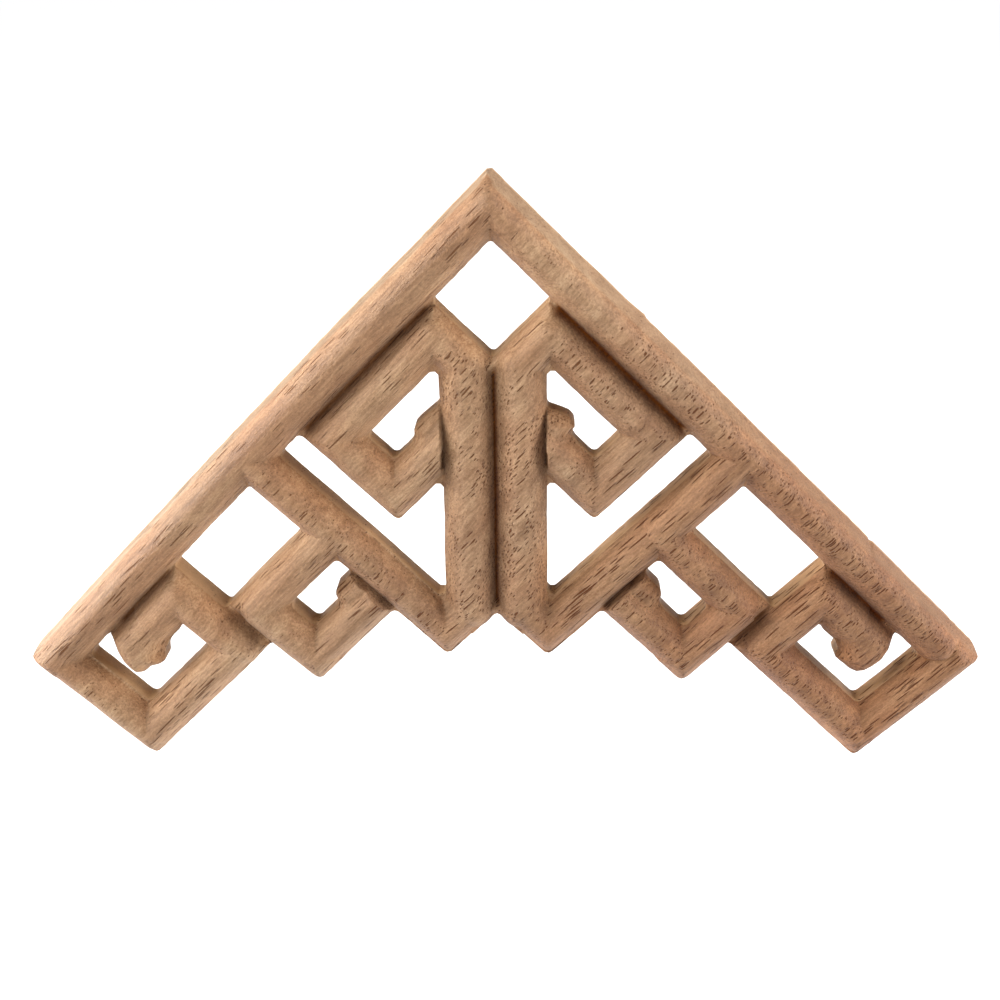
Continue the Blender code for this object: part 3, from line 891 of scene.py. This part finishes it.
# %% [markdown]
# A knife tears raw wood slightly: fibres stand up by some hundredths of a millimetre and vessels
# lie open. Both bend the light as well as the colour, and the sawn walls are smoother.

# %% Relief of the fibres
FIBRE_HEIGHT, SPECK_HEIGHT, PORE_DEPTH = 0.055, 0.045, 0.13
relief = math_of("MULTIPLY", spread(fibres, 0.3, 0.7, 0.0, 1.0), FIBRE_HEIGHT)
relief = math_of("ADD", relief, math_of("MULTIPLY", spread(speckle, 0.3, 0.7, 0.0, 1.0), SPECK_HEIGHT))
relief = math_of("MULTIPLY", relief, spread(wall_mark, 0.0, 1.0, 1.0, 0.35))
relief = math_of("SUBTRACT", relief, math_of("MULTIPLY", pore_mark, PORE_DEPTH))
bump = add("Bump", {"Strength": 1.0, "Distance": 0.001, "Height": relief})
tree.links.new(bump.outputs[0], shader.inputs["Normal"])
mesh.materials.append(wood)
print("relief ready")

# %% [markdown]
# ## Studio
# The photograph was taken over white paper, lit so brightly that no shadow shows on it. The floor
# here glows by itself to the same effect, and it lights the undersides of the bars.

# %% The floor
FLOOR_Z = -0.0446
ASIDE, NEAR, FAR = 20, -3, 60
floor_mesh = bpy.data.meshes.new("floor")
flat = [(-ASIDE, NEAR), (ASIDE, NEAR), (ASIDE, FAR), (-ASIDE, FAR)]
floor_mesh.from_pydata([(x, y, FLOOR_Z) for x, y in flat], [], [(0, 1, 2, 3)])
floor = bpy.data.objects.new("floor", floor_mesh)
bpy.context.scene.collection.objects.link(floor)
paper = bpy.data.materials.new("white_paper")
paper.use_nodes = True
sheet = paper.node_tree.nodes["Principled BSDF"]
sheet.inputs["Base Color"].default_value = (0.35, 0.35, 0.35, 1)
sheet.inputs["Roughness"].default_value = 1.0
sheet.inputs["Specular IOR Level"].default_value = 0.0
sheet.inputs["Emission Color"].default_value = (1, 1, 1, 1)
sheet.inputs["Emission Strength"].default_value = 0.98
floor_mesh.materials.append(paper)
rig.stage(floor)
print("floor at", FLOOR_Z, "m")

# %% [markdown]
# Carving shows best in light that skims over it. One soft lamp stands level with the board on
# each side, a small window shines from the upper left in front, and the ceiling adds a little.

# %% The lights
def soft_light(name, place, size, power, colour=(1, 1, 1)):
    """A square lamp at a place, turned to face the middle of the piece."""
    lamp = bpy.data.lights.new(name, "AREA")
    lamp.size, lamp.energy, lamp.color = size, power, colour
    thing = bpy.data.objects.new(name, lamp)
    bpy.context.scene.collection.objects.link(thing)
    away = np.array(place) / np.linalg.norm(place)
    sideways = np.cross((0, 1, 0), away)
    sideways /= np.linalg.norm(sideways)
    axes = np.eye(4)
    axes[:3, 0], axes[:3, 1], axes[:3, 2], axes[:3, 3] = sideways, np.cross(away, sideways), away, place
    thing.matrix_world = Matrix(axes.tolist())


soft_light("left side", (-0.6, 0.0, 0.1), 0.4, 9.6)
soft_light("right side", (0.58, -0.12, 0.22), 0.4, 6.9)
soft_light("window", (-0.38, -0.26, 0.45), 0.35, 3.9)
soft_light("ceiling", (0.10, 0.0, 0.68), 0.5, 1.2)
world = bpy.data.worlds.new("room")
bpy.context.scene.world = world
world.use_nodes = True
world.node_tree.nodes["Background"].inputs["Color"].default_value = (1, 1, 1, 1)
world.node_tree.nodes["Background"].inputs["Strength"].default_value = 0.06
bpy.context.scene.view_settings.view_transform = "Standard"
print("lights ready")

# %% [markdown]
# The outer sizes of the solid and of the fine surface are written down, so that they can be
# compared.

# %% Sizes and finish
json.dump({"cad": [list(map(float, corner)) for corner in solid_box],
           "visual": [list(map(float, corner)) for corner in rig.bounds()]}, open("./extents.json", "w"))
print(open("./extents.json").read())
